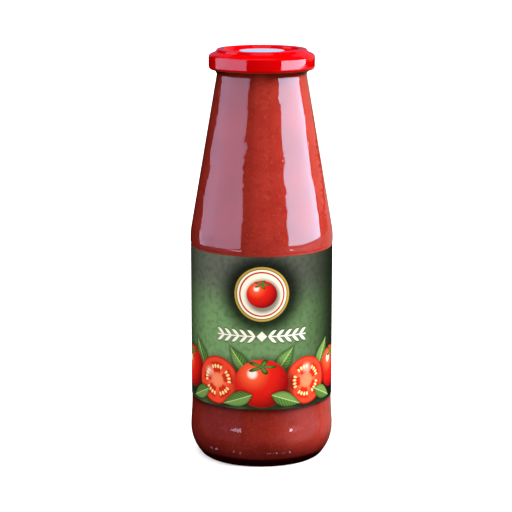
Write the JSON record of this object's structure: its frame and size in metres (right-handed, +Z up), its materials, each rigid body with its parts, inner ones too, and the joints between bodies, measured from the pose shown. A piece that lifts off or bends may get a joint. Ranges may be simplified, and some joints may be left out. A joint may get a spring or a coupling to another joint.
{
  "type": "passata bottle",
  "caption": "Glass bottle with a conical shoulder, full of tomato passata, shut by a red twist-off lid and wrapped in a printed paper label.",
  "frame": {"origin": "middle of the base, on the surface that the bottle stands on", "axes": "+Z up along the bottle's axis, with the front of the label facing -Y"},
  "size_m": [0.0762, 0.0762, 0.2173],
  "materials": {
    "glass": "clear, smooth",
    "passata": "wet, smooth",
    "label": "printed, matte",
    "lid": "glossy lacquer"
  },
  "bodies": {
    "root": {"glass_bottle": "glass", "passata": "passata", "label": "label", "lid": "lid"}
  },
  "joints": []
}
